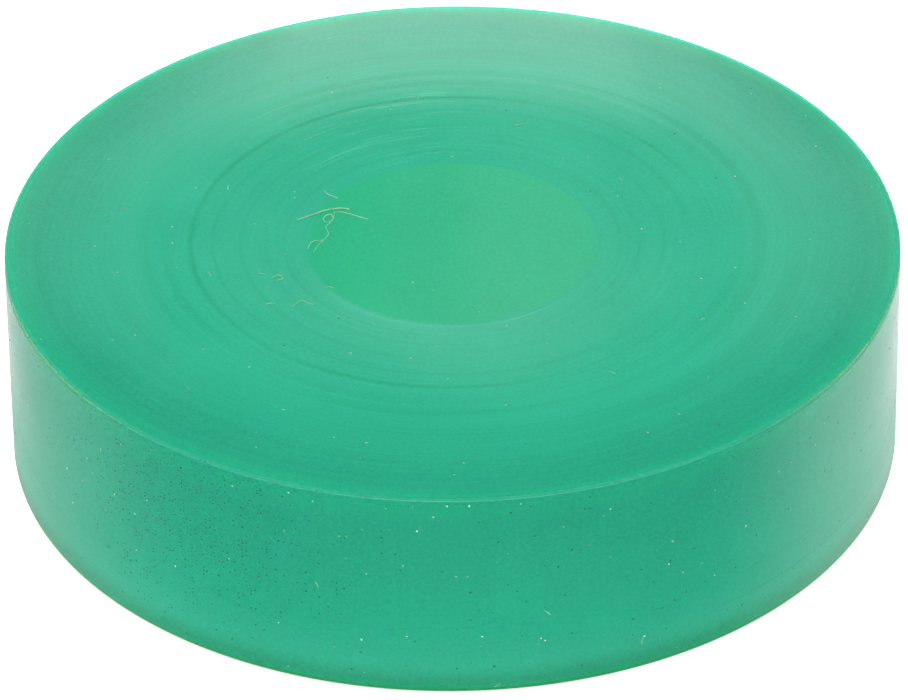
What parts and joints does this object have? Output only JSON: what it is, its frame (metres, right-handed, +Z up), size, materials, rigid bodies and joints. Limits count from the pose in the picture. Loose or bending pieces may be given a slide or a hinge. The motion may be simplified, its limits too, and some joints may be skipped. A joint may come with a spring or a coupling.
{
  "type": "shaving soap puck",
  "caption": "Round cast puck of translucent green shaving soap with a straight wall, flat underside and a low crowned top around a shallow, slightly dished centre.",
  "frame": {"origin": "centre of the flat underside, on the puck's axis", "axes": "+Z up along the axis, out of the crowned top; X and Y are interchangeable, because the puck is round"},
  "size_m": [0.066, 0.066, 0.0172],
  "materials": {
    "soap": "satin"
  },
  "bodies": {
    "root": {"soap_puck": "soap"}
  },
  "joints": []
}
